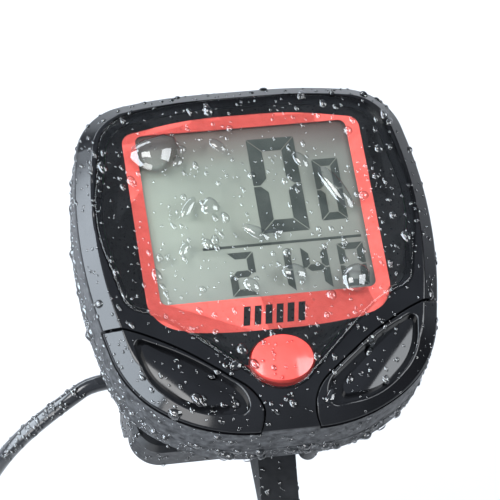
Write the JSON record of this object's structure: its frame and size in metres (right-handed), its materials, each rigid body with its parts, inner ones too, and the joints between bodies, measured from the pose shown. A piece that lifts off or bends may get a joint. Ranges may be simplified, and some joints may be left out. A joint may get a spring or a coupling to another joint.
{
  "type": "cycling computer",
  "caption": "Wired cycling computer: display head with window, two corner keys and a centre button, sliding onto a handlebar bracket with a sensor on a coiled cable.",
  "frame": {"origin": "on the handlebar's axis, under the middle of the bracket's saddle", "axes": "+X along the handlebar to the rider's right, +Y away from the rider, +Z out of the display's face"},
  "size_m": [0.0839, 0.0596, 0.1294],
  "materials": {
    "gloss_black": "high gloss moulded ABS",
    "matte_black": "fine matte moulded ABS",
    "window_clear": "polished clear acrylic",
    "print_black": "printed ink behind the window",
    "print_coral": "printed ink behind the window",
    "button_red": "gloss moulded cap",
    "lcd_face": "polariser film over the glass, through which the reflector shows",
    "lcd_glass": "clear glass with polariser",
    "lcd_reflector": "satin reflector film",
    "white_plastic": "moulded",
    "rubber_black": "moulded silicone",
    "cable_black": "smooth PVC jacket",
    "board_green": "solder mask",
    "epoxy_black": "poured epoxy",
    "steel": "bright",
    "contact_gold": "plated",
    "nylon_black": "moulded nylon",
    "reed_glass": "glass tube"
  },
  "bodies": {
    "bracket": {"mount_base": "matte_black", "saddle_pad": "rubber_black", "cable_tie_left": "nylon_black", "cable_tie_right": "nylon_black", "lever_pin": "steel", "bracket_contacts": "contact_gold", "cable_boot": "rubber_black", "sensor_cable": "cable_black", "sensor_cable_coil": "cable_black", "sensor_cable_tail": "cable_black", "coil_tie": "nylon_black", "sensor_housing": "matte_black", "sensor_cover": "matte_black", "reed_switch": "reed_glass", "sensor_pad": "rubber_black"},
    "head": {"front_cover": "gloss_black", "rear_cover": "matte_black", "case_gasket": "rubber_black", "case_screws": "steel", "window_lens": "window_clear", "window_print": "print_black", "screen_border": "print_coral", "lcd_front_glass": "lcd_face", "lcd_rear_glass": "lcd_glass", "lcd_reflector": "lcd_reflector", "lcd_holder": "white_plastic", "zebra_strip": "rubber_black", "circuit_board": "board_green", "chip_blob": "epoxy_black", "quartz_crystal": "steel", "board_components": "white_plastic", "dome_switches": "steel", "key_seals": "rubber_black", "battery_cell": "steel", "battery_contact_top": "contact_gold", "battery_contact_side": "contact_gold", "head_contacts": "contact_gold", "contact_springs": "contact_gold"},
    "left_key": {"left_key": "gloss_black"},
    "right_key": {"right_key": "gloss_black"},
    "centre_button": {"centre_button": "button_red"},
    "battery_door": {"battery_door": "matte_black", "battery_door_seal": "rubber_black"},
    "release_lever": {"release_lever": "matte_black"}
  },
  "joints": [
    {"name": "head_slide", "type": "slide", "parent": "bracket", "child": "head", "axis": [0, -1, 0], "range_m": [0, 0.0185]},
    {"name": "left_key_press", "type": "slide", "parent": "head", "child": "left_key", "axis": [0, 0, -1], "range_m": [0, 0.0007], "stiffness_N_per_m": 1500, "springref_m": -0.0003},
    {"name": "right_key_press", "type": "slide", "parent": "head", "child": "right_key", "axis": [0, 0, -1], "range_m": [0, 0.0007], "stiffness_N_per_m": 1500, "springref_m": -0.0003},
    {"name": "centre_button_press", "type": "slide", "parent": "head", "child": "centre_button", "axis": [0, 0, -1], "range_m": [0, 0.0007], "stiffness_N_per_m": 1500, "springref_m": -0.0003},
    {"name": "battery_door_turn", "type": "hinge", "parent": "head", "child": "battery_door", "pos_m": [0, 0.015, 0.0242], "axis": [0, 0, 1], "range_deg": [0, 90]},
    {"name": "release_lever_press", "type": "hinge", "parent": "bracket", "child": "release_lever", "pos_m": [0, -0.0142, 0.0178], "axis": [1, 0, 0], "range_deg": [0, 7], "stiffness_Nm_per_rad": 0.4, "springref_deg": -2.29}
  ]
}
